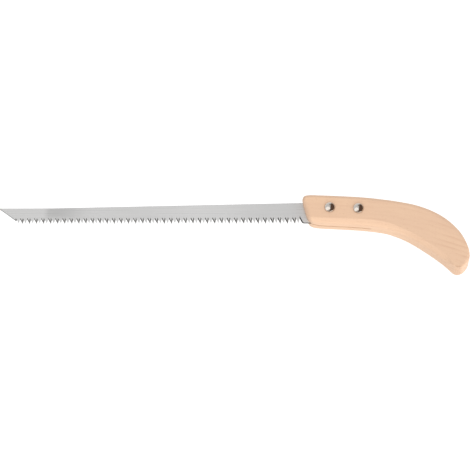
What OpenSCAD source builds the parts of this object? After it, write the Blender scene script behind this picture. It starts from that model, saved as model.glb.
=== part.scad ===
// Bonsai saw: a thin pull-saw blade riveted into the slotted end of a curved
// one-piece wooden handle. All lengths are in millimetres.
//
// Drawing plane: x runs along the blade from the tip to the handle and is zero
// on the front rivet, y is zero on the tooth-tip line and grows towards the
// spine, z is zero on the blade's mid-plane. The finished saw is then moved so
// that it lies on its side with the origin under the middle of its box.

/* [Blade] */
// Distance from one tooth tip to the next
tooth_pitch = 2.5; // [2.2:0.05:2.6]
// Number of tooth tips between the slanted end and the heel
tooth_count = 79; // [61:2:85]
// Depth of the first gullet, next to the slanted end
tooth_depth = 4.1; // [3.6:0.05:4.4]
// How much deeper the last gullet is, next to the handle
depth_gain = 0.6; // [0:0.05:0.8]
// Sideways run of each oblique gullet through the blade
gullet_run = 0.82; // [0.4:0.02:0.9]
// Sideways bend of the tooth tips, alternately to each side
tooth_set = 0.12; // [0:0.02:0.25]
// Thickness of the steel
blade_t = 0.9; // [0.7:0.05:1.2]
// Height of the blade at the slanted end
tip_h = 11.3; // [9.5:0.1:12]
// Height of the blade where it enters the handle
heel_h = 15; // [13.5:0.1:15.2]
// Length of the slanted end along the blade
tip_run = 12.5; // [9:0.1:14]
// Length of the tang behind the front rivet
tang_l = 26; // [24:0.5:26]

/* [Handle] */
// Thickness of the handle, side to side
handle_t = 18; // [16:0.5:22]
// Round-over along the two long edges
edge_r = 2.6; // [1.6:0.1:3]
// Edge break around the butt end
butt_r = 0.8; // [0.4:0.1:1.2]
// Edge break around the front end
front_r = 1.5; // [0.8:0.1:2]
// Clearance of the slot beside the blade, each side
kerf_clear = 0.05; // [0.03:0.01:0.15]
// Radius of the slotting cutter that leaves the round end of the slot
kerf_cut_r = 80; // [60:1:120]
// Depth of the flat seat under each rivet head
seat_depth = 0.4; // [0.2:0.05:0.6]

/* [Rivets] */
// Distance between the two rivets along the blade
rivet_gap = 19.2; // [18:0.1:20]
// Diameter of a rivet head
head_d = 7.2; // [7:0.1:8]
// Height of the dome above the handle's side
dome_h = 2; // [1.2:0.1:2.6]
// Outside diameter of the tubular half
sleeve_d = 5; // [4.4:0.1:5.6]
// Diameter of the solid half's shank
post_d = 3.2; // [2.4:0.1:3.6]
// Gap between a rivet and the hole it passes through, each side
hole_clear = 0.05; // [0.02:0.01:0.1]

/* [Hidden] */
$fn = 64;

// ---- rivet positions -------------------------------------------------------
rivet_front = [0, 8.5];
rivet_rear = [rivet_gap, 7.8];

// ---- handle outline --------------------------------------------------------
// Both edges start at the middle of the front end. The crest runs over the top
// and round the butt, the belly under the grip to the butt's lower corner.
CREST = [[-17, 7.8], [-18.2, 11.8], [-18.7, 15], [-17.5, 17.3], [-14.7, 18],
         [-7, 17.9], [6, 17.3], [20, 16.5], [34, 15], [47, 13],
         [58.1, 10.5], [67.1, 7.1], [75.3, 2.5], [81.8, -2.9], [87.2, -9.4],
         [90.6, -16.2], [92.4, -22.3], [92.6, -26.1], [91.2, -29.9],
         [88.6, -32.6], [86.1, -33.7]];
BELLY = [[-17, 7.8], [-15.8, 3.9], [-14.1, 1.2], [-12.4, -0.1], [-9.8, -1],
         [-5, -1.6], [4, -2.1], [13, -2.6], [22, -3.3], [31, -4.3],
         [38, -5.6], [43.8, -7.5], [49.8, -10.1], [55.7, -13.4], [61.7, -17.3],
         [67.7, -21.5], [73.7, -26.1], [78.2, -29.8], [81.2, -32],
         [82.9, -33.2], [84.4, -33.8]];
spans = len(CREST) - 1;   // spline spans along each edge
per_span = 3;             // points on each span
arc_n = 4;                // steps in a quarter round-over
edge_n = spans * per_span;
ring_n = 2 * edge_n + 1;

// closed loop of control points: along the crest, back along the belly
LOOP = concat(CREST, [for (i = [spans : -1 : 1]) BELLY[i]]);
function lp(i) = LOOP[(i + len(LOOP)) % len(LOOP)];

// one span of a smooth curve through p1 and p2, spaced so that it never bulges
function knot(a, b) = sqrt(norm(b - a));
function span(p0, p1, p2, p3, t) =
    let (d1 = knot(p0, p1), d2 = knot(p1, p2), d3 = knot(p2, p3),
         m1 = d2 * ((p1 - p0) / d1 - (p2 - p0) / (d1 + d2) + (p2 - p1) / d2),
         m2 = d2 * ((p2 - p1) / d2 - (p3 - p1) / (d2 + d3) + (p3 - p2) / d3))
    (2 * pow(t, 3) - 3 * t * t + 1) * p1 + (pow(t, 3) - 2 * t * t + t) * m1
    + (3 * t * t - 2 * pow(t, 3)) * p2 + (pow(t, 3) - t * t) * m2;
function on_loop(i, t) = span(lp(i - 1), lp(i), lp(i + 1), lp(i + 2), t);

// the sampled outline, clockwise seen from above
OUT = concat(
    [for (i = [0 : spans - 1], k = [0 : per_span - 1]) on_loop(i, k / per_span)],
    [lp(spans)],
    [for (i = [spans + 1 : 2 * spans], k = [0 : per_span - 1])
        on_loop(i, k / per_span)]);
// inward normal of the outline at each sample
function inward(i) =
    let (d = OUT[(i + 1) % ring_n] - OUT[(i + ring_n - 1) % ring_n])
    [d[1], -d[0]] / norm(d);
// position of a sample along its edge, counted in control points from the front
function along(i) = (i <= edge_n ? i : ring_n - i) / per_span;
function ease(a, b, v) = let (q = min(1, max(0, (v - a) / (b - a)))) q * q * (3 - 2 * q);
// the round-over is largest on the long edges
function round_at(i) =
    front_r + (edge_r - front_r) * ease(2.5, 5, along(i))
    + (butt_r - edge_r) * ease(i <= edge_n ? 13 : 16, i <= edge_n ? 16.5 : 18.5, along(i));

// one point of the handle's skin: a is the round-over angle, side is 1 or -1
function skin(i, a, side) =
    let (r = round_at(i), p = OUT[i] + inward(i) * r * (1 - cos(a)))
    [p[0], p[1], side * (handle_t / 2 - r + r * sin(a))];
LEVELS = concat([for (k = [arc_n : -1 : 0]) [90 * k / arc_n, 1]],
                [for (k = [0 : arc_n]) [90 * k / arc_n, -1]]);
function belly_at(i) = i == 0 ? 0 : ring_n - i;

module handle_blank() {
    pts = [for (lv = LEVELS, i = [0 : ring_n - 1]) skin(i, lv[0], lv[1])];
    last = (len(LEVELS) - 1) * ring_n;
    sides = [for (j = [0 : len(LEVELS) - 2], i = [0 : ring_n - 1])
        let (u = j * ring_n, l = u + ring_n, n = (i + 1) % ring_n)
        each [[u + i, l + i, l + n], [u + i, l + n, u + n]]];
    upper = [for (i = [0 : edge_n - 1])
        each (i == 0 ? [[0, 1, belly_at(1)]]
                     : [[i, i + 1, belly_at(i + 1)],
                        [i, belly_at(i + 1), belly_at(i)]])];
    lower = [for (f = upper) [last + f[0], last + f[2], last + f[1]]];
    polyhedron(pts, concat(sides, upper, lower), convexity = 6);
}

// ---- blade outline ---------------------------------------------------------
flank_c = 0.649;   // run per height of a tooth's long flank
face_c = 0.2126;   // run per height of a tooth's cutting face, towards the handle
last_tip_x = -21.3;
first_tip_x = last_tip_x - (tooth_count - 1) * tooth_pitch;
run_c = (tooth_pitch + gullet_run) / tooth_depth;      // both flanks together
fit_c = run_c / (flank_c + face_c);                    // keeps the tips on y = 0
half_run = gullet_run / 2;
// tips: the long face of a tooth reaches y = 0, its short face stays above
function tip_x(k) = first_tip_x + k * tooth_pitch;
short_h = (tooth_pitch - gullet_run) / run_c;
short_y = tooth_depth - short_h;
// gullet k lies in front of tooth k; it crosses the blade obliquely
function gullet_x(k) = tip_x(k) - tooth_depth * flank_c * fit_c + half_run;
function lean(k) = (k % 2 == 1 ? 1 : -1) * half_run;   // shift on the upper side
function gullet_y(k) = tooth_depth + depth_gain * k / tooth_count;
function gullet(k, side) = [gullet_x(k) + side * lean(k), gullet_y(k)];
// the upper side of an odd tooth is the short, bevelled one
function tip_long(k, side) = (k % 2 == 0) == (side > 0);
function tip_pt(k, side) = tip_long(k, side)
    ? [tip_x(k), 0]
    : [gullet(k, side)[0] + short_h * flank_c * fit_c, short_y];
function tip_bend(k, y) = (k % 2 == 0 ? 1 : -1) * tooth_set * (tooth_depth - y) / tooth_depth;

// spine: straight, level over the last stretch before the slanted end
enter_x = -17;
tip_low_y = 2.55;
tip_top_x = gullet_x(0) - half_run - 0.5 - tip_run;
level_x = tip_top_x + 37.6;
function spine_y(x) = x < level_x ? tip_h
    : tip_h + (heel_h - tip_h) * (x - level_x) / (enter_x - level_x);
// the slanted end runs on until it meets the wall of the first gullet
slant = tip_run / (tip_h - tip_low_y);
function slant_end(side) =
    let (g = gullet(0, side), c = face_c * fit_c,
         y = (tip_top_x + tip_h * slant - g[0] + tooth_depth * c) / (slant + c))
    [tip_top_x + (tip_h - y) * slant, y];

// plain heel and tang, from the last gullet to the tang's rounded end
heel_y = 0.2;
heel_x = gullet_x(tooth_count) + (tooth_depth - heel_y) * flank_c * fit_c;
TANG_LOW = [[heel_x - 0.45, heel_y + 0.7, 1], [heel_x - 0.1, heel_y + 0.3, 0.9],
            [heel_x + 0.4, heel_y + 0.08, 0.6], [heel_x + 1.1, heel_y, 0.2],
            [heel_x + 1.9, heel_y, 0], [-12, heel_y, 0],
            [tang_l - 5, heel_y + 0.6, 0], [tang_l - 1.8, heel_y + 1.3, 0],
            [tang_l - 0.5, heel_y + 2.6, 0], [tang_l, heel_y + 4.4, 0]];
TANG_TOP = [[-12, spine_y(enter_x)], [tang_l - 5, 12.4], [tang_l - 1.8, 11.6],
            [tang_l - 0.5, 10.4], [tang_l, 8.6]];
function tang_low(i, side) = [TANG_LOW[i][0] + side * half_run * TANG_LOW[i][2]
                              * (lean(tooth_count) > 0 ? 1 : -1), TANG_LOW[i][1]];
n_low = len(TANG_LOW);
n_top = len(TANG_TOP);
cols = 1 + (tooth_count + 1) + n_low;   // columns of the blade's face

// lower and upper end of each column on one side
function col_low(c, side) = c == 0 ? slant_end(side)
    : c <= tooth_count + 1 ? gullet(c - 1, side)
    : tang_low(c - tooth_count - 2, side);
function col_top(c) = c == 0 ? [tip_top_x, tip_h]
    : c <= tooth_count + 1 ? [gullet_x(c - 1), spine_y(gullet_x(c - 1))]
    : let (i = c - tooth_count - 2, x = TANG_LOW[i][0])
      i < n_low - n_top ? [x, spine_y(x)] : TANG_TOP[i - (n_low - n_top)];

module blade_blank() {
    h = blade_t / 2;
    // points: upper side low, upper side top, lower side low, lower side top, tips
    pts = concat(
        [for (c = [0 : cols - 1]) let (p = col_low(c, 1)) [p[0], p[1], h]],
        [for (c = [0 : cols - 1]) let (p = col_top(c)) [p[0], p[1], h]],
        [for (c = [0 : cols - 1]) let (p = col_low(c, -1)) [p[0], p[1], -h]],
        [for (c = [0 : cols - 1]) let (p = col_top(c)) [p[0], p[1], -h]],
        [for (k = [0 : tooth_count - 1]) let (p = tip_pt(k, 1)) [p[0], p[1], h + tip_bend(k, p[1])]],
        [for (k = [0 : tooth_count - 1]) let (p = tip_pt(k, -1)) [p[0], p[1], -h + tip_bend(k, p[1])]]);
    ut = cols; ll = 2 * cols; lt = 3 * cols; tu = 4 * cols; tl = tu + tooth_count;
    body = [for (c = [0 : cols - 2]) each [
        [ut + c, ut + c + 1, c + 1], [ut + c, c + 1, c],
        [lt + c, ll + c + 1, lt + c + 1], [lt + c, ll + c, ll + c + 1],
        [ut + c, lt + c, lt + c + 1], [ut + c, lt + c + 1, ut + c + 1]]];
    // plain lower edge: the slanted end's notch wall, then heel and tang
    plain = [for (c = concat([0], [for (i = [tooth_count + 1 : cols - 2]) i])) each [
        [c, c + 1, ll + c + 1], [c, ll + c + 1, ll + c]]];
    ends = [[0, ll, ut], [ut, ll, lt],
            [cols - 1, ut + cols - 1, ll + cols - 1],
            [ut + cols - 1, lt + cols - 1, ll + cols - 1]];
    teeth = [for (k = [0 : tooth_count - 1]) let (a = k + 1, b = k + 2) each [
        [a, b, tu + k], [ll + a, tl + k, ll + b],
        [a, tu + k, tl + k], [a, tl + k, ll + a],
        [tu + k, b, ll + b], [tu + k, ll + b, tl + k]]];
    polyhedron(pts, concat(body, plain, ends, teeth), convexity = 10);
}

// ---- placing ---------------------------------------------------------------
butt_x = max([for (p = OUT) p[0]]);
low_y = min([for (p = OUT) p[1]]);
high_y = max([for (p = OUT) p[1]]);
rest_z = handle_t / 2 + dome_h;
module lay_down() {
    translate([-(tip_top_x + butt_x) / 2, -(low_y + high_y) / 2, rest_z]) children();
}

// ---- sub-parts -------------------------------------------------------------
// steel blank: toothed blade, plain heel and tang with two rivet holes
module blade() {
    color([0.79, 0.79, 0.79]) lay_down() difference() {
        blade_blank();
        for (p = [rivet_front, rivet_rear])
            translate([p[0], p[1], 0])
                cylinder(d = sleeve_d + 2 * hole_clear, h = 4, center = true);
    }
}

// one-piece wooden handle: slotted in front, bored and seated for the rivets
module handle() {
    seat_d = head_d + 0.5;
    color([0.92, 0.77, 0.65]) lay_down() difference() {
        handle_blank();
        translate([tang_l + 2.4 - kerf_cut_r, 5, 0])
            cylinder(r = kerf_cut_r, h = blade_t + 2 * kerf_clear, center = true, $fn = 180);
        for (p = [rivet_front, rivet_rear]) translate([p[0], p[1], 0]) {
            cylinder(d = sleeve_d + 2 * hole_clear, h = handle_t + 2, center = true);
            for (s = [0, 180]) rotate([s, 0, 0])
                translate([0, 0, handle_t / 2 - seat_depth]) cylinder(d = seat_d, h = 2);
        }
    }
}

// domed rivet head, standing on its seat at z = 0
module dome_head() {
    ball_r = (pow(head_d / 2, 2) + dome_h * dome_h) / (2 * dome_h);
    cylinder(d = head_d, h = seat_depth);
    translate([0, 0, seat_depth]) intersection() {
        translate([0, 0, dome_h - ball_r]) sphere(r = ball_r);
        cylinder(d = head_d + 2, h = dome_h + 1);
    }
}

// tubular half with its head on the upper side
module rivet_sleeve(p) {
    seat_z = handle_t / 2 - seat_depth;
    translate([p[0], p[1], 0]) difference() {
        union() {
            translate([0, 0, seat_z]) dome_head();
            translate([0, 0, -seat_z + 0.6]) cylinder(d = sleeve_d, h = 2 * seat_z - 0.6);
        }
        translate([0, 0, -seat_z]) cylinder(d = post_d + 0.04, h = 2 * seat_z - 2);
    }
}

// solid half with its head on the lower side, pressed into the sleeve
module rivet_post(p) {
    seat_z = handle_t / 2 - seat_depth;
    translate([p[0], p[1], 0]) {
        rotate([180, 0, 0]) translate([0, 0, seat_z]) dome_head();
        translate([0, 0, -seat_z]) cylinder(d = post_d, h = 2 * seat_z - 4);
    }
}

module front_rivet_sleeve() { color([0.85, 0.84, 0.82]) lay_down() rivet_sleeve(rivet_front); }
module front_rivet_post() { color([0.85, 0.84, 0.82]) lay_down() rivet_post(rivet_front); }
module rear_rivet_sleeve() { color([0.85, 0.84, 0.82]) lay_down() rivet_sleeve(rivet_rear); }
module rear_rivet_post() { color([0.85, 0.84, 0.82]) lay_down() rivet_post(rivet_rear); }

blade();
handle();
front_rivet_sleeve();
front_rivet_post();
rear_rivet_sleeve();
rear_rivet_post();
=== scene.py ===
import math

import bmesh
import bpy
from mathutils import Matrix, Vector


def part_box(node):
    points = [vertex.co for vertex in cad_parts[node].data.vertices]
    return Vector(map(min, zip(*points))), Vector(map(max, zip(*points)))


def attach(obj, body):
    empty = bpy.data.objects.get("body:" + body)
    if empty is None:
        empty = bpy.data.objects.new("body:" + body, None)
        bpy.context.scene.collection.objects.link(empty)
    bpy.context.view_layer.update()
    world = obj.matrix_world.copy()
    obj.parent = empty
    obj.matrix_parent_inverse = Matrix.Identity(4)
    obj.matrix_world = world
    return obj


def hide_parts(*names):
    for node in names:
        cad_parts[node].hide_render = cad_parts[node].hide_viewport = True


# Looks of a bonsai saw that lies on its side: brushed steel blade with
# alternately bevelled teeth, one-piece beech handle, two domed press rivets.
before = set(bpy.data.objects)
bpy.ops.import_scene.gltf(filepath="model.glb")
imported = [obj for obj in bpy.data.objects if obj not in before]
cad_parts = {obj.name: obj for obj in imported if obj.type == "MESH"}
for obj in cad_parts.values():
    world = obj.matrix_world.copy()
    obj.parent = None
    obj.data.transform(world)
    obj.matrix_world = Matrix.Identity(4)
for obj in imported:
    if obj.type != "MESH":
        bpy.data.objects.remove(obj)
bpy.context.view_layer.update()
scene = bpy.context.scene

# ---------------------------------------------------------------- shared frame
# Shapes are drawn in millimetres with x = 0 on the front rivet, y = 0 on the
# tooth tips and z = 0 on the blade's mid-plane, then moved into the row frame.
MM = 0.001
r_lo, r_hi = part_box("front_rivet_sleeve")
h_lo, h_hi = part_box("handle")
OX = (r_lo.x + r_hi.x) / 2 / MM
OY = (r_lo.y + r_hi.y) / 2 / MM - 8.5
OZ = (h_lo.z + h_hi.z) / 2 / MM


def row(p):
    return ((p[0] + OX) * MM, (p[1] + OY) * MM, (p[2] + OZ) * MM)


def new_object(name, verts, faces):
    me = bpy.data.meshes.new(name)
    me.from_pydata([row(v) for v in verts], [], faces)
    me.validate()
    me.update()
    ob = bpy.data.objects.new(name, me)
    scene.collection.objects.link(ob)
    return ob


def apply_modifiers(ob):
    bpy.context.view_layer.update()
    dg = bpy.context.evaluated_depsgraph_get()
    me = bpy.data.meshes.new_from_object(ob.evaluated_get(dg))
    ob.modifiers.clear()
    old = ob.data
    ob.data = me
    bpy.data.meshes.remove(old)
    me.name = ob.name


def smooth(ob, degrees):
    """Smooth shading that breaks at creases and keeps the large flat faces flat."""
    for p in ob.data.polygons:
        p.use_smooth = True
    ob.data.set_sharp_from_angle(angle=math.radians(degrees))
    m = ob.modifiers.new("normals", "WEIGHTED_NORMAL")
    m.mode = "FACE_AREA"
    m.weight = 50
    m.keep_sharp = True
    apply_modifiers(ob)


def cut(ob, cutters):
    for c in cutters:
        m = ob.modifiers.new("cut", "BOOLEAN")
        m.operation = "DIFFERENCE"
        m.solver = "EXACT"
        m.object = c
    apply_modifiers(ob)
    for c in cutters:
        me = c.data
        bpy.data.objects.remove(c)
        bpy.data.meshes.remove(me)


def ease(a, b, v):
    q = min(1.0, max(0.0, (v - a) / (b - a)))
    return q * q * (3 - 2 * q)


def lathe(name, profile, at, steps=96):
    """Closed solid of revolution about a line along z through at. profile is
    a list of (radius, z), from one end of the axis to the other."""
    verts, faces, rings = [], [], []
    for r, z in profile:
        if r < 1e-6:
            rings.append([len(verts)])
            verts.append((at[0], at[1], z))
        else:
            rings.append(list(range(len(verts), len(verts) + steps)))
            for k in range(steps):
                t = 2 * math.pi * k / steps
                verts.append((at[0] + r * math.cos(t), at[1] + r * math.sin(t), z))
    for a, b in zip(rings, rings[1:]):
        for k in range(steps):
            n = (k + 1) % steps
            if len(a) == 1:
                faces.append((a[0], b[n], b[k]))
            elif len(b) == 1:
                faces.append((a[k], a[n], b[0]))
            else:
                faces.append((a[k], a[n], b[n], b[k]))
    ob = new_object(name, verts, faces)
    bm = bmesh.new()
    bm.from_mesh(ob.data)
    bmesh.ops.recalc_face_normals(bm, faces=bm.faces)
    bm.to_mesh(ob.data)
    bm.free()
    return ob


# ------------------------------------------------------------------ dimensions
BLADE_T, HANDLE_T = 0.9, 18.0
RIVETS = {"front": (0.0, 8.5), "rear": (19.2, 7.8)}
HEAD_R, DOME_H, SEAT_DEPTH, SEAT_R = 3.6, 2.0, 0.4, 3.64
SLEEVE_R, POST_R, HOLE_R = 2.5, 1.6, 2.55
TANG_L = 26.0

# ---------------------------------------------------------------------- handle
# Control points of the crest and the belly, both from the front end's middle.
CREST = [(-17, 7.8), (-18.2, 11.8), (-18.7, 15), (-17.5, 17.3), (-14.7, 18),
         (-7, 17.9), (6, 17.3), (20, 16.5), (34, 15), (47, 13),
         (58.1, 10.5), (67.1, 7.1), (75.3, 2.5), (81.8, -2.9), (87.2, -9.4),
         (90.6, -16.2), (92.4, -22.3), (92.6, -26.1), (91.2, -29.9),
         (88.6, -32.6), (86.1, -33.7)]
BELLY = [(-17, 7.8), (-15.8, 3.9), (-14.1, 1.2), (-12.4, -0.1), (-9.8, -1),
         (-5, -1.6), (4, -2.1), (13, -2.6), (22, -3.3), (31, -4.3),
         (38, -5.6), (43.8, -7.5), (49.8, -10.1), (55.7, -13.4), (61.7, -17.3),
         (67.7, -21.5), (73.7, -26.1), (78.2, -29.8), (81.2, -32),
         (82.9, -33.2), (84.4, -33.8)]
LOOP = [Vector(p) for p in CREST + BELLY[:0:-1]]
SPANS = len(CREST) - 1


def span(i, t):
    p0, p1, p2, p3 = (LOOP[(i + k) % len(LOOP)] for k in (-1, 0, 1, 2))
    d1, d2, d3 = (math.sqrt((b - a).length) for a, b in ((p0, p1), (p1, p2), (p2, p3)))
    m1 = d2 * ((p1 - p0) / d1 - (p2 - p0) / (d1 + d2) + (p2 - p1) / d2)
    m2 = d2 * ((p2 - p1) / d2 - (p3 - p1) / (d2 + d3) + (p3 - p2) / d3)
    return ((2 * t**3 - 3 * t * t + 1) * p1 + (t**3 - 2 * t * t + t) * m1
            + (3 * t * t - 2 * t**3) * p2 + (t**3 - t * t) * m2)


def edge_form(u):
    """Round-over at loop position u: inset on the side face, drop on the wall,
    and how far the arc turns before it meets the side face."""
    crest = u <= SPANS + 0.5
    a = u if crest else len(LOOP) - u
    if crest:
        body, q0, q1 = (2.3, 2.3, 72), ease(2.2, 4.6, a), ease(13, 16.5, a)
    else:
        # widest under the rear rivet
        inset = 2.2 + 0.8 * ease(3.6, 6, a) + 0.4 * ease(6.8, 8.4, a) - 0.7 * ease(8.8, 11.6, a)
        body, q0, q1 = (inset, 3.8 + 0.4 * ease(8.5, 12, a), 50), ease(2.6, 4.4, a), ease(16.3, 18.6, a)
    # the front end is rounded most beside the blade, less at its two corners
    front = (2.4 + 1.2 * (1 - ease(0.7, 2.0, a)), 2.5, 84)
    # the butt is hardly broken, except on its outer edge
    outer = ease(15.2, 17.2, a) * (1 - ease(18, 19.2, a)) if crest else 0.0
    butt = (0.7 + 1.2 * outer, 0.8 + 1.2 * outer, 60)
    mid = [f + (b - f) * q0 for f, b in zip(front, body)]
    return [m + (b - m) * q1 for m, b in zip(mid, butt)]


def make_handle():
    samples = []
    for i in range(len(LOOP)):
        length = (LOOP[(i + 1) % len(LOOP)] - LOOP[i]).length
        n = max(5, round(length / 0.45))
        samples += [(i + k / n, span(i, k / n)) for k in range(n)]
    count = len(samples)
    arc_n = 7
    rings = [[] for _ in range(2 * (arc_n + 1))]
    for j, (u, p) in enumerate(samples):
        d = samples[(j + 1) % count][1] - samples[j - 1][1]
        inward = Vector((d.y, -d.x)).normalized()
        inset, drop, turn = edge_form(u)
        turn = math.radians(turn)
        a_in, a_up = inset / (1 - math.cos(turn)), drop / math.sin(turn)
        for k in range(arc_n + 1):
            t = turn * (1 - k / arc_n)
            q = p + inward * a_in * (1 - math.cos(t))
            z = HANDLE_T / 2 - drop + a_up * math.sin(t)
            rings[k].append((q.x, q.y, z))
            rings[-1 - k].append((q.x, q.y, -z))
    verts = [v for r in rings for v in r]
    faces = []
    for j in range(len(rings) - 1):
        a, b = j * count, (j + 1) * count
        faces += [(a + i, b + i, b + (i + 1) % count, a + (i + 1) % count) for i in range(count)]
    last = (len(rings) - 1) * count
    faces.append(tuple(range(count)))
    faces.append(tuple(last + i for i in reversed(range(count))))
    ob = new_object("beech_handle", verts, faces)
    bm = bmesh.new()
    bm.from_mesh(ob.data)
    bmesh.ops.recalc_face_normals(bm, faces=bm.faces)
    bm.to_mesh(ob.data)
    bm.free()

    # slot with the round end that a slotting cutter leaves
    cx, cy, cr, half = TANG_L + 2.4 - 80, 5.0, 80.0, BLADE_T / 2 + 0.05
    rim = [(cx + cr * math.cos(math.radians(t / 2)), cy + cr * math.sin(math.radians(t / 2)))
           for t in range(-50, 51)]
    rim += [(-30, rim[-1][1]), (-30, rim[0][1])]
    n = len(rim)
    slot = new_object("slot", [(x, y, half) for x, y in rim] + [(x, y, -half) for x, y in rim],
                      [tuple(range(n)), tuple(range(2 * n - 1, n - 1, -1))]
                      + [(i, n + i, n + (i + 1) % n, (i + 1) % n) for i in range(n)])
    # bores with a broken edge round each seat
    h = HANDLE_T / 2
    bores = []
    for p in RIVETS.values():
        side = [(SEAT_R + 0.05, h + 1), (SEAT_R + 0.05, h), (SEAT_R, h - 0.05),
                (SEAT_R, h - SEAT_DEPTH), (HOLE_R, h - SEAT_DEPTH)]
        profile = [(0, h + 1)] + side + [(r, -z) for r, z in reversed(side)] + [(0, -h - 1)]
        bores.append(lathe("bore", profile, p, 96))
    cut(ob, [slot] + bores)
    smooth(ob, 13)
    return ob


# ----------------------------------------------------------------------- blade
PITCH, TEETH, DEPTH, GAIN, RUN, SET = 2.5, 79, 4.1, 0.6, 0.82, 0.12
TIP_H, HEEL_H, TIP_RUN = 11.3, 15.0, 12.5
FLANK, FACE = 0.649, 0.2126
HALF = RUN / 2
FIRST = -21.3 - (TEETH - 1) * PITCH
RUN_C = (PITCH + RUN) / DEPTH
FIT = RUN_C / (FLANK + FACE)
SHORT_H = (PITCH - RUN) / RUN_C


def gullet(k, side):
    x = FIRST + k * PITCH - DEPTH * FLANK * FIT + HALF
    return x + side * (HALF if k % 2 else -HALF)


def make_blade():
    h = BLADE_T / 2
    g0 = FIRST - DEPTH * FLANK * FIT + HALF
    top_x = g0 - HALF - 0.5 - TIP_RUN
    level = top_x + 37.6

    def spine(x):
        return TIP_H + (HEEL_H - TIP_H) * max(0.0, x - level) / (-17 - level)

    slant, c = TIP_RUN / (TIP_H - 2.55), FACE * FIT

    def slant_end(side):
        y = (top_x + TIP_H * slant - gullet(0, side) + DEPTH * c) / (slant + c)
        return (top_x + (TIP_H - y) * slant, y)

    hy = 0.2
    hx = FIRST + TEETH * PITCH - DEPTH * FLANK * FIT + HALF + (DEPTH - hy) * FLANK * FIT
    low = [(hx - 0.45, hy + 0.7, 1), (hx - 0.1, hy + 0.3, 0.9), (hx + 0.4, hy + 0.08, 0.6),
           (hx + 1.1, hy, 0.2), (hx + 1.9, hy, 0), (-12, hy, 0),
           (TANG_L - 5, hy + 0.6, 0), (TANG_L - 1.8, hy + 1.3, 0),
           (TANG_L - 0.5, hy + 2.6, 0), (TANG_L, hy + 4.4, 0)]
    top = [(-12, spine(-17)), (TANG_L - 5, 12.4), (TANG_L - 1.8, 11.6),
           (TANG_L - 0.5, 10.4), (TANG_L, 8.6)]
    lead = 1 if TEETH % 2 else -1
    cols = []
    for side in (1, -1):
        lows = [slant_end(side)] + [(gullet(k, side), DEPTH + GAIN * k / TEETH) for k in range(TEETH + 1)]
        lows += [(x + side * HALF * w * lead, y) for x, y, w in low]
        cols.append(lows)
    tops = [(top_x, TIP_H)]
    for k in range(TEETH + 1):
        x = FIRST + k * PITCH - DEPTH * FLANK * FIT + HALF
        tops.append((x, spine(x)))
    tops += [(x, spine(x)) for x, _, _ in low[: len(low) - len(top)]] + top
    n = len(tops)
    verts = ([(x, y, h) for x, y in cols[0]] + [(x, y, h) for x, y in tops]
             + [(x, y, -h) for x, y in cols[1]] + [(x, y, -h) for x, y in tops])
    for side in (1, -1):
        for k in range(TEETH):
            if (k % 2 == 0) == (side > 0):
                p = (FIRST + k * PITCH, 0.0)
            else:
                p = (gullet(k, side) + SHORT_H * FLANK * FIT, DEPTH - SHORT_H)
            bend = (1 if k % 2 == 0 else -1) * SET * (DEPTH - p[1]) / DEPTH
            verts.append((p[0], p[1], side * h + bend))
    ut, ll, lt, tu = n, 2 * n, 3 * n, 4 * n
    tl = tu + TEETH
    faces = []
    for i in range(n - 1):
        faces += [(ut + i, i, i + 1, ut + i + 1), (lt + i, lt + i + 1, ll + i + 1, ll + i),
                  (ut + i, ut + i + 1, lt + i + 1, lt + i)]
    for i in [0] + list(range(TEETH + 1, n - 1)):
        faces.append((i, ll + i, ll + i + 1, i + 1))
    faces += [(0, ut, lt, ll), (n - 1, ll + n - 1, lt + n - 1, ut + n - 1)]
    for k in range(TEETH):
        a, b = k + 1, k + 2
        faces += [(a, tu + k, b), (ll + a, ll + b, tl + k),
                  (a, ll + a, tl + k), (a, tl + k, tu + k),
                  (tu + k, tl + k, ll + b), (tu + k, ll + b, b)]
    ob = new_object("steel_blade", verts, faces)
    bm = bmesh.new()
    bm.from_mesh(ob.data)
    bmesh.ops.recalc_face_normals(bm, faces=bm.faces)
    # the spine and the tang have a broken edge, the slanted end and the heel a ground one
    weight = bm.edges.layers.float.new("bevel_weight_edge")
    bm.verts.ensure_lookup_table()
    for e in bm.edges:
        i, j = sorted(v.index for v in e.verts)
        along = (ut <= i and j < ll and j == i + 1) or (lt <= i and j < tu and j == i + 1)
        plain = any(b <= i and j < b + n and j == i + 1 and i - b > TEETH for b in (0, ll))
        end = (i, j) in ((0, ut), (ll, lt), (n - 1, ut + n - 1), (ll + n - 1, lt + n - 1))
        heel = plain and (i % n) < n - 5
        if along or plain or end:
            e[weight] = 1.0 if heel else 0.75 if end and i % n == 0 else 0.35
    bm.to_mesh(ob.data)
    bm.free()
    m = ob.modifiers.new("edge", "BEVEL")
    m.width = 0.4 * MM
    m.segments = 1
    m.limit_method = "WEIGHT"
    apply_modifiers(ob)
    holes = []
    for p in RIVETS.values():
        holes.append(lathe("hole", [(0, 2), (HOLE_R, 2), (HOLE_R, -2), (0, -2)], p, 96))
    cut(ob, holes)
    smooth(ob, 20)
    return ob


# ---------------------------------------------------------------------- rivets
def dome(z0, up):
    """Profile of a domed head on its seat, from the axis to the rim's foot: a
    shallow cap that turns down over a rounded shoulder."""
    ball, lip = 4.9, 3.1
    start = math.asin(lip / ball)
    pts = [(ball * math.sin(start * k / 18), DOME_H - ball * (1 - math.cos(start * k / 18))) for k in range(19)]
    turn = (HEAD_R - lip) / (1 - math.sin(start))
    for k in range(1, 11):
        t = start + (math.pi / 2 - start) * k / 10
        pts.append((lip + turn * (math.sin(t) - math.sin(start)), pts[18][1] - turn * (math.cos(start) - math.cos(t))))
    pts.append((HEAD_R, -SEAT_DEPTH))
    return [(r, z0 + up * z) for r, z in pts]


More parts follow.
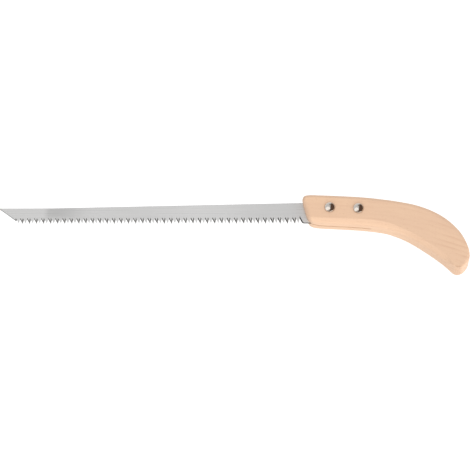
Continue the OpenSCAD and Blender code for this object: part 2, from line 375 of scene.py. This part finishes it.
def make_rivet(name, p):
    h = HANDLE_T / 2
    seat = h - SEAT_DEPTH
    bore = POST_R + 0.02
    sleeve = dome(h, 1) + [(SLEEVE_R, seat), (SLEEVE_R, -seat + 0.75), (SLEEVE_R - 0.15, -seat + 0.6),
                           (bore, -seat + 0.6), (bore, seat - 2), (0, seat - 2)]
    post = dome(-h, -1) + [(POST_R, -seat), (POST_R, seat - 4.4), (POST_R - 0.4, seat - 4), (0, seat - 4)]
    a = lathe(f"{name}_rivet_tube", sleeve, p)
    b = lathe(f"{name}_rivet_stud", post, p)
    for ob in (a, b):
        smooth(ob, 32)
    return a, b


# ------------------------------------------------------------------- materials
class Graph:
    """Short forms for building a node tree."""

    def __init__(self, tree):
        self.tree = tree
        tree.nodes.clear()

    def node(self, kind, inputs=None, **props):
        n = self.tree.nodes.new(kind)
        for k, v in props.items():
            setattr(n, k, v)
        for k, v in (inputs or {}).items():
            self.put(n.inputs[k], v)
        return n

    def put(self, socket, value):
        if isinstance(value, bpy.types.NodeSocket):
            self.tree.links.new(value, socket)
        elif isinstance(value, (tuple, list)) and socket.type == "RGBA" and len(value) == 3:
            socket.default_value = (*value, 1)
        else:
            socket.default_value = value

    def math(self, op, a, b=None, clamp=False):
        n = self.node("ShaderNodeMath", operation=op, use_clamp=clamp)
        self.put(n.inputs[0], a)
        if b is not None:
            self.put(n.inputs[1], b)
        return n.outputs[0]

    def dot(self, a, b):
        n = self.node("ShaderNodeVectorMath", operation="DOT_PRODUCT")
        self.put(n.inputs[0], a)
        self.put(n.inputs[1], b)
        return n.outputs["Value"]

    def place(self, vec, scale, rotate=(0, 0, 0), move=(0, 0, 0)):
        n = self.node("ShaderNodeMapping", {"Vector": vec, "Scale": scale, "Rotation": rotate, "Location": move})
        return n.outputs[0]

    def remap(self, v, a, b, c=0.0, d=1.0, kind="SMOOTHSTEP"):
        n = self.node("ShaderNodeMapRange", {"Value": v, "From Min": a, "From Max": b, "To Min": c, "To Max": d},
                      interpolation_type=kind, clamp=True)
        return n.outputs[0]

    def noise(self, vec, scale=1.0, detail=2.0, rough=0.5, twist=0.0):
        n = self.node("ShaderNodeTexNoise", {"Vector": vec, "Scale": scale, "Detail": detail,
                                             "Roughness": rough, "Distortion": twist})
        return n.outputs["Fac"]

    def mix(self, fac, a, b, kind="MIX"):
        n = self.node("ShaderNodeMix", data_type="RGBA", blend_type=kind)
        self.put(n.inputs[0], fac)
        self.put(n.inputs[6], a)
        self.put(n.inputs[7], b)
        return n.outputs[2]

    def ramp(self, fac, stops):
        n = self.node("ShaderNodeValToRGB", {"Fac": fac})
        el = n.color_ramp.elements
        while len(el) < len(stops):
            el.new(0.5)
        for e, (pos, col) in zip(el, stops):
            e.position = pos
            e.color = (*col, 1)
        return n.outputs["Color"]

    def bump(self, height, strength, distance, normal=None):
        n = self.node("ShaderNodeBump", {"Height": height, "Strength": strength, "Distance": distance})
        if normal is not None:
            self.put(n.inputs["Normal"], normal)
        return n.outputs[0]

    def surface(self, **inputs):
        out = self.node("ShaderNodeOutputMaterial")
        b = self.node("ShaderNodeBsdfPrincipled")
        for k, v in inputs.items():
            self.put(b.inputs[k.replace("_", " ")], v)
        self.tree.links.new(b.outputs[0], out.inputs[0])
        return b


def material(name):
    m = bpy.data.materials.new(name)
    m.use_nodes = True
    return m, Graph(m.node_tree)


def beech():
    m, g = material("beech")
    tc = g.node("ShaderNodeTexCoord")
    # millimetres, with the grain's direction along x
    # that bends down towards the butt
    p = g.place(tc.outputs["Object"], (1000, 1000, 1000), (0, 0, math.radians(3)))
    xyz = g.node("ShaderNodeSeparateXYZ", {"Vector": p})
    behind = g.math("MAXIMUM", g.math("SUBTRACT", xyz.outputs["X"], OX + 12), 0.0)
    bend = g.math("MULTIPLY", g.math("MULTIPLY", behind, behind), 0.0019)
    p = g.node("ShaderNodeCombineXYZ", {"X": xyz.outputs["X"], "Y": g.math("ADD", xyz.outputs["Y"], bend),
                                        "Z": xyz.outputs["Z"]}).outputs[0]
    wander = g.noise(g.place(p, (0.012, 0.05, 0.05)), 1, 2)
    wav = g.math("MULTIPLY", g.math("SUBTRACT", wander, 0.5), 9.0)
    xyz = g.node("ShaderNodeSeparateXYZ", {"Vector": p})
    # growth rings cross the handle's side as long, gently bent stripes
    y = g.math("ADD", g.math("ADD", xyz.outputs["Y"], wav), 58.0)
    z = g.math("ADD", xyz.outputs["Z"], 34.0)
    radius = g.math("SQRT", g.math("ADD", g.math("MULTIPLY", y, y), g.math("MULTIPLY", z, z)))
    phase = g.math("FRACT", g.math("MULTIPLY", radius, 0.36))
    late = g.math("MULTIPLY", g.remap(phase, 0.25, 0.93), g.remap(phase, 1.0, 0.94))
    uneven = g.noise(g.place(p, (0.045, 0.3, 0.3)), 1, 3)
    late = g.math("MULTIPLY", late, g.remap(uneven, 0.36, 0.70))
    blotch = g.noise(g.place(p, (0.03, 0.09, 0.09)), 1, 3, 0.55)
    col = g.ramp(blotch, [(0.28, (0.715, 0.484, 0.336)), (0.72, (0.745, 0.509, 0.349))])
    # the stripes are toned down everywhere except near the butt
    plain = g.remap(behind, 56, 74, 0.45, 1.0)
    col = g.mix(g.math("MULTIPLY", late, plain), col, (0.655, 0.418, 0.283))
    # short brown rays, drawn out along the grain
    fleck = g.node("ShaderNodeTexVoronoi", {"Vector": g.place(p, (0.42, 2.1, 2.1)), "Scale": 1.0, "Randomness": 1.0},
                   feature="F1")
    spot = g.remap(fleck.outputs["Distance"], 0.30, 0.12)
    pick = g.node("ShaderNodeSeparateColor", {"Color": fleck.outputs["Color"]})
    spot = g.math("MULTIPLY", spot, g.remap(pick.outputs["Red"], 0.35, 0.9))
    col = g.mix(g.math("MULTIPLY", spot, 0.5), col, (0.520, 0.300, 0.185))
    # fibres
    fibre = g.noise(g.place(p, (0.16, 4.5, 4.5)), 1, 3, 0.6)
    col = g.mix(g.remap(fibre, 0.62, 0.30, 0, 0.16), col, (0.560, 0.345, 0.225))
    # the front end, facing -x, is darker: partly end grain that drinks more of the finish, partly painted shade on the
    # side turned from the light
    end = g.dot(tc.outputs["Normal"], (-0.982, 0.191, 0.0))
    pores = g.noise(g.place(p, (0.5, 5.0, 5.0)), 1, 2, 0.6)
    end = g.math("MULTIPLY", g.remap(end, 0.0, 0.95), g.remap(pores, 0.25, 0.7, 0.75, 1.0))
    col = g.mix(g.math("MULTIPLY", end, 0.68), col, (0.465, 0.31, 0.22))
    # the walls of the slot are painted a plain, light wood tone without grain: painted light that lifts the shade
    # inside the slot
    place = g.node("ShaderNodeSeparateXYZ", {"Vector": tc.outputs["Object"]}).outputs["Z"]
    inside = g.remap(g.math("ABSOLUTE", g.math("SUBTRACT", place, OZ * MM)), 0.0011, 0.0009)
    flat = g.remap(g.math("ABSOLUTE", g.dot(tc.outputs["Normal"], (0.0, 0.0, 1.0))), 0.8, 0.95)
    col = g.mix(g.math("MULTIPLY", inside, flat), col, (0.73, 0.49, 0.335))
    # the end grain at the butt: painted shade at its lower corner, a painted highlight beyond it, and
    # painted shade along the crease to the side face
    raw = g.node("ShaderNodeSeparateXYZ", {"Vector": g.place(tc.outputs["Object"], (1000, 1000, 1000))})
    tilt = g.math("ABSOLUTE", g.dot(tc.outputs["Normal"], (0.0, 0.0, 1.0)))
    butt = g.remap(raw.outputs["Y"], OY - 21, OY - 31.5)
    wall = g.math("MULTIPLY", butt, g.remap(tilt, 0.75, 0.35))
    # painted shade over the butt's lower corner, mottled by the pores
    painted_butt_shade = g.math("MULTIPLY", g.remap(raw.outputs["X"], OX + 82.2, OX + 84.4), g.remap(raw.outputs["X"], OX + 88.6, OX + 86.0))
    painted_butt_shade = g.math("MULTIPLY", painted_butt_shade, g.remap(pores, 0.25, 0.7, 0.7, 1.0))
    col = g.mix(g.math("MULTIPLY", wall, painted_butt_shade), col, (0.89, 0.87, 0.86), "MULTIPLY")
    # painted highlight on the butt's wall beyond the corner
    painted_butt_highlight = g.math("MULTIPLY", wall, g.remap(raw.outputs["X"], OX + 85.6, OX + 88.4))
    col = g.mix(painted_butt_highlight, col, (1.09, 1.11, 1.14), "MULTIPLY")
    # painted shade along the crease between the butt's wall and the side faces
    side = g.math("ABSOLUTE", g.math("SUBTRACT", raw.outputs["Z"], OZ))
    painted_crease_shade = g.math("MULTIPLY", g.remap(side, HANDLE_T / 2 - 1.0, HANDLE_T / 2 - 0.6), g.remap(tilt, 0.99, 0.95))
    painted_crease_shade = g.math("MULTIPLY", painted_crease_shade, g.math("MULTIPLY", butt, painted_butt_shade))
    col = g.mix(g.math("MULTIPLY", painted_crease_shade, 0.8), col, (0.470, 0.300, 0.200))
    # the side faces are a trace lighter round the rivets than in the grip
    fore = g.math("MULTIPLY", g.remap(raw.outputs["X"], OX + 45, OX + 5), g.remap(tilt, 0.90, 0.98))
    col = g.mix(fore, col, (1.026, 1.020, 1.006), "MULTIPLY")
    height = g.math("SUBTRACT", fibre, g.math("MULTIPLY", spot, 0.5))
    nrm = g.bump(height, 0.35, 0.00006)
    rough = g.remap(fibre, 0.2, 0.8, 0.60, 0.48, "LINEAR")
    g.surface(Base_Color=col, Roughness=rough, Specular_IOR_Level=0.32, Normal=nrm)
    return m


def steel():
    m, g = material("brushed_steel")
    tc = g.node("ShaderNodeTexCoord")
    p = g.place(tc.outputs["Object"], (1000, 1000, 1000))
    xyz = g.node("ShaderNodeSeparateXYZ", {"Vector": p})
    # lines of the grinding belt along the blade, fine ones and broader ones
    fine = g.noise(g.place(p, (0.05, 9.0, 9.0)), 1, 3, 0.65)
    coarse = g.noise(g.place(p, (0.012, 1.6, 1.6)), 1, 3, 0.6)
    tone = g.math("ADD", g.remap(fine, 0.25, 0.75, -0.025, 0.025, "LINEAR"),
                  g.remap(coarse, 0.25, 0.75, -0.024, 0.024, "LINEAR"))
    # random cloudy tone, and painted reflection: the steel is painted darker towards both ends and in one patch
    cloud = g.noise(g.place(p, (0.028, 0.03, 0.03)), 1, 2, 0.5)
    tone = g.math("ADD", tone, g.remap(cloud, 0.3, 0.7, 0.698, 0.723))
    tone = g.math("ADD", tone, g.remap(xyz.outputs["X"], -72, -18, -0.012, 0.056))
    tone = g.math("SUBTRACT", tone, g.remap(xyz.outputs["X"], -14, 20, 0.0, 0.046))
    # painted reflection: a darker patch on the blade's side, strongest away from the teeth
    painted_dim_patch = g.math("MULTIPLY", g.remap(xyz.outputs["X"], -130.5, -125), g.remap(xyz.outputs["X"], -94, -122))
    painted_dim_patch = g.math("MULTIPLY", painted_dim_patch, g.remap(xyz.outputs["Y"], OY + 3.2, OY + 6.2, 0.3, 1.0))
    tone = g.math("SUBTRACT", tone, g.math("MULTIPLY", painted_dim_patch, 0.135))
    grey = g.node("ShaderNodeCombineColor", {"Red": tone, "Green": tone, "Blue": tone})
    # edges and tooth bevels are ground matt and dark; a long flank is painted darker
    # as shade where it leaves its gullet, and is darker towards the handle
    nrm = g.node("ShaderNodeSeparateXYZ", {"Vector": tc.outputs["Normal"]})
    cutface = g.remap(g.math("ABSOLUTE", nrm.outputs["Z"]), 0.985, 0.90)
    deep = g.remap(xyz.outputs["Y"], OY, OY + DEPTH + GAIN, kind="LINEAR")
    # painted shade: the long flanks darken towards the bottom of the gullet
    flank = g.mix(g.remap(xyz.outputs["X"], -140, 30, kind="LINEAR"),
                  g.ramp(deep, [(0.15, (0.29, 0.287, 0.282)), (0.85, (0.085, 0.083, 0.080))]),
                  g.ramp(deep, [(0.15, (0.20, 0.197, 0.193)), (0.62, (0.032, 0.031, 0.030))]))
    face = g.ramp(deep, [(0.15, (0.24, 0.237, 0.233)), (0.85, (0.33, 0.327, 0.322))])
    ground = g.mix(g.remap(nrm.outputs["X"], -0.1, 0.1), flank, face)
    first, last = FIRST - DEPTH * FLANK * FIT + OX, FIRST + TEETH * PITCH - DEPTH * FLANK * FIT + OX
    ground = g.mix(g.remap(xyz.outputs["X"], first + 0.2, first - 0.2), ground, (0.15, 0.148, 0.145))
    ground = g.mix(g.remap(xyz.outputs["X"], last, last + 0.4), ground, (0.016, 0.016, 0.015))
    col = g.mix(cutface, grey.outputs[0], ground)
    metal = g.remap(cutface, 0.0, 1.0, 0.62, 0.35, "LINEAR")
    rough = g.math("ADD", g.remap(coarse, 0.25, 0.75, 0.26, 0.34, "LINEAR"), g.math("MULTIPLY", cutface, 0.18))
    nrm = g.bump(g.math("ADD", fine, g.math("MULTIPLY", coarse, 0.6)), 0.25, 0.000012)
    # the ground faces are oily next to the handle and shine less there
    oily = g.math("MULTIPLY", cutface, g.remap(xyz.outputs["X"], -60, 48, kind="LINEAR"))
    sheen = g.remap(oily, 0.0, 1.0, 0.5, 0.06, "LINEAR")
    g.surface(Base_Color=col, Metallic=metal, Roughness=rough, Specular_IOR_Level=sheen, Normal=nrm)
    return m


def nickel():
    m, g = material("nickel")
    tc = g.node("ShaderNodeTexCoord")
    p = g.place(tc.outputs["Object"], (1000, 1000, 1000))
    rub = g.noise(g.place(p, (0.8, 3.0, 3.0), (0, 0, 0.6)), 1, 4, 0.6)
    haze = g.noise(p, 0.9, 3, 0.6)
    col = g.ramp(haze, [(0.3, (0.78, 0.725, 0.665)), (0.7, (0.86, 0.80, 0.74))])
    rough = g.math("ADD", g.remap(haze, 0.3, 0.75, 0.07, 0.15), g.remap(rub, 0.55, 0.8, 0.0, 0.10))
    nrm = g.bump(rub, 0.12, 0.00001)
    g.surface(Base_Color=col, Metallic=1.0, Roughness=rough, Normal=nrm)
    return m


# ------------------------------------------------------------------ put together
wood, blade_mat, rivet_mat = beech(), steel(), nickel()
handle = make_handle()
handle.data.materials.clear()
handle.data.materials.append(wood)
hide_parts("handle")
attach(handle, "root")

blade = make_blade()
blade.data.materials.clear()
blade.data.materials.append(blade_mat)
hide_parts("blade")
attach(blade, "root")

for which, at in RIVETS.items():
    tube, stud = make_rivet(which, at)
    for ob, node in ((tube, f"{which}_rivet_sleeve"), (stud, f"{which}_rivet_post")):
        ob.data.materials.clear()
        ob.data.materials.append(rivet_mat)
        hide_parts(node)
        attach(ob, "root")

# ---------------------------------------------------------------- camera, stage
view_a, view_t, roll = math.radians(6.0365), math.radians(20.0), math.radians(0.020)
back = Vector((math.sin(view_a), -math.sin(view_t) * math.cos(view_a), math.cos(view_t) * math.cos(view_a)))
right = (Vector((1, 0, 0)) - back * back.x).normalized()
up = back.cross(right)
right, up = right * math.cos(roll) + up * math.sin(roll), up * math.cos(roll) - right * math.sin(roll)
target = Vector(row((-64.2667, -8.6059, 0.0)))
px = 0.682503 * MM
cam_data = bpy.data.cameras.new("camera")
cam = bpy.data.objects.new("camera", cam_data)
scene.collection.objects.link(cam)
cam_data.sensor_width = 36.0
cam_data.lens = 36.0 * 0.900 / (470 * px)
cam_data.clip_start, cam_data.clip_end = 0.01, 20.0
eye = target + back * 0.900 - right * (0.5 * px) + up * (0.5 * px)
cam.matrix_world = Matrix(((right.x, up.x, back.x, eye.x), (right.y, up.y, back.y, eye.y),
                           (right.z, up.z, back.z, eye.z), (0, 0, 0, 1)))
scene.camera = cam

scene.view_settings.view_transform = "Standard"
scene.view_settings.look = "None"

bm = bmesh.new()
bmesh.ops.create_grid(bm, x_segments=2, y_segments=2, size=4.0)
floor_me = bpy.data.meshes.new("floor")
bm.to_mesh(floor_me)
bm.free()
floor = bpy.data.objects.new("floor", floor_me)
scene.collection.objects.link(floor)
fm, g = material("floor")
out = g.node("ShaderNodeOutputMaterial")
ray = g.node("ShaderNodeLightPath")
# a white light table: even light from below, and a faint shadow where it is seen
bounce = g.node("ShaderNodeEmission", {"Color": (1.0, 0.995, 0.985), "Strength": 1.05})
dif = g.node("ShaderNodeBsdfDiffuse", {"Color": (0.30, 0.30, 0.30)})
glow = g.node("ShaderNodeEmission", {"Color": (1.0, 1.0, 1.0), "Strength": 0.86})
add = g.node("ShaderNodeAddShader")
pick = g.node("ShaderNodeMixShader", {"Fac": ray.outputs["Is Camera Ray"]})
for a, b in ((dif.outputs[0], add.inputs[0]), (glow.outputs[0], add.inputs[1]), (bounce.outputs[0], pick.inputs[1]),
             (add.outputs[0], pick.inputs[2]), (pick.outputs[0], out.inputs[0])):
    fm.node_tree.links.new(a, b)
floor_me.materials.append(fm)

world = bpy.data.worlds.new("studio")
scene.world = world
world.use_nodes = True
world.cycles.sampling_method = "NONE"
g = Graph(world.node_tree)
out = g.node("ShaderNodeOutputWorld")
tc = g.node("ShaderNodeTexCoord")
look = tc.outputs["Generated"]
# soft fill, brighter from the lower right
fill = g.math("ADD", g.dot(look, (0.12, -0.30, 0.0)), 1.10)
fill = g.node("ShaderNodeCombineColor", {"Red": fill, "Green": fill, "Blue": fill}).outputs[0]
# what polished metal mirrors: a bright bank at the left and above, a dark room at the
# right and in front, and a low bank in front
bank = g.math("MULTIPLY", g.remap(g.dot(look, (-0.999, 0.050, 0.0)), -0.24, -0.08),
              g.remap(g.dot(look, (-0.359, 0.933, 0.0)), -0.47, -0.33))
bank = g.math("MULTIPLY", bank, g.remap(g.dot(look, (0.0, 1.0, 0.0)), -0.70, -0.56))
high = g.remap(g.dot(look, (0.0, 0.0, 1.0)), 0.25, 0.92, 0.68, 0.60)
grey = g.node("ShaderNodeCombineColor", {"Red": high, "Green": high, "Blue": high}).outputs[0]
low = g.math("MULTIPLY", g.remap(g.dot(look, (0.0, 0.0, 1.0)), 0.56, 0.32),
             g.remap(g.dot(look, (0.0, -1.0, 0.0)), 0.48, 0.78))
low = g.math("MULTIPLY", low, g.remap(g.dot(look, (1.0, 0.0, 0.0)), -0.10, 0.20))
dusk = g.mix(low, (0.105, 0.064, 0.045), (1.05, 0.95, 0.86))
room = g.mix(bank, dusk, grey)
# a dark beam behind, between the bank and the floor
beam = g.math("MULTIPLY", g.remap(g.dot(look, (0.0, 0.786, 0.618)), 0.93, 0.985),
              g.remap(g.dot(look, (1.0, 0.0, 0.0)), -0.20, 0.02))
room = g.mix(g.math("MULTIPLY", beam, 0.75), room, (0.13, 0.10, 0.08))
ray = g.node("ShaderNodeLightPath")
light = g.mix(ray.outputs["Is Glossy Ray"], fill, room)
seen = g.mix(ray.outputs["Is Camera Ray"], light, (1.0, 1.0, 1.0))
bg = g.node("ShaderNodeBackground", {"Color": seen, "Strength": 1.0})
world.node_tree.links.new(bg.outputs[0], out.inputs[0])


def soft_light(name, direction, distance, size, power, colour=(1, 1, 1), diffuse=True, glossy=True):
    ld = bpy.data.lights.new(name, "AREA")
    ld.shape = "DISK"
    ld.size = size
    ld.energy = power
    ld.color = colour
    ob = bpy.data.objects.new(name, ld)
    d = Vector(direction).normalized()
    ob.location = d * distance
    ob.rotation_mode = "QUATERNION"
    ob.rotation_quaternion = d.to_track_quat("Z", "Y")
    ob.visible_diffuse, ob.visible_glossy, ob.visible_camera = diffuse, glossy, False
    scene.collection.objects.link(ob)
    return ob


# radiance of a disk of that size and power is power / (pi * area)
soft_light("key", (0.0, -0.88, 0.30), 2.0, 1.2, 7.5, (1.0, 0.985, 0.87), glossy=False)
soft_light("right", (0.95, -0.30, 0.10), 2.0, 1.2, 5.0, (1.0, 0.985, 0.96), glossy=False)
soft_light("left_bank", (-0.45, -0.32, 0.83), 2.0, 2.8, 9.5, (1.0, 0.95, 0.90), diffuse=False)
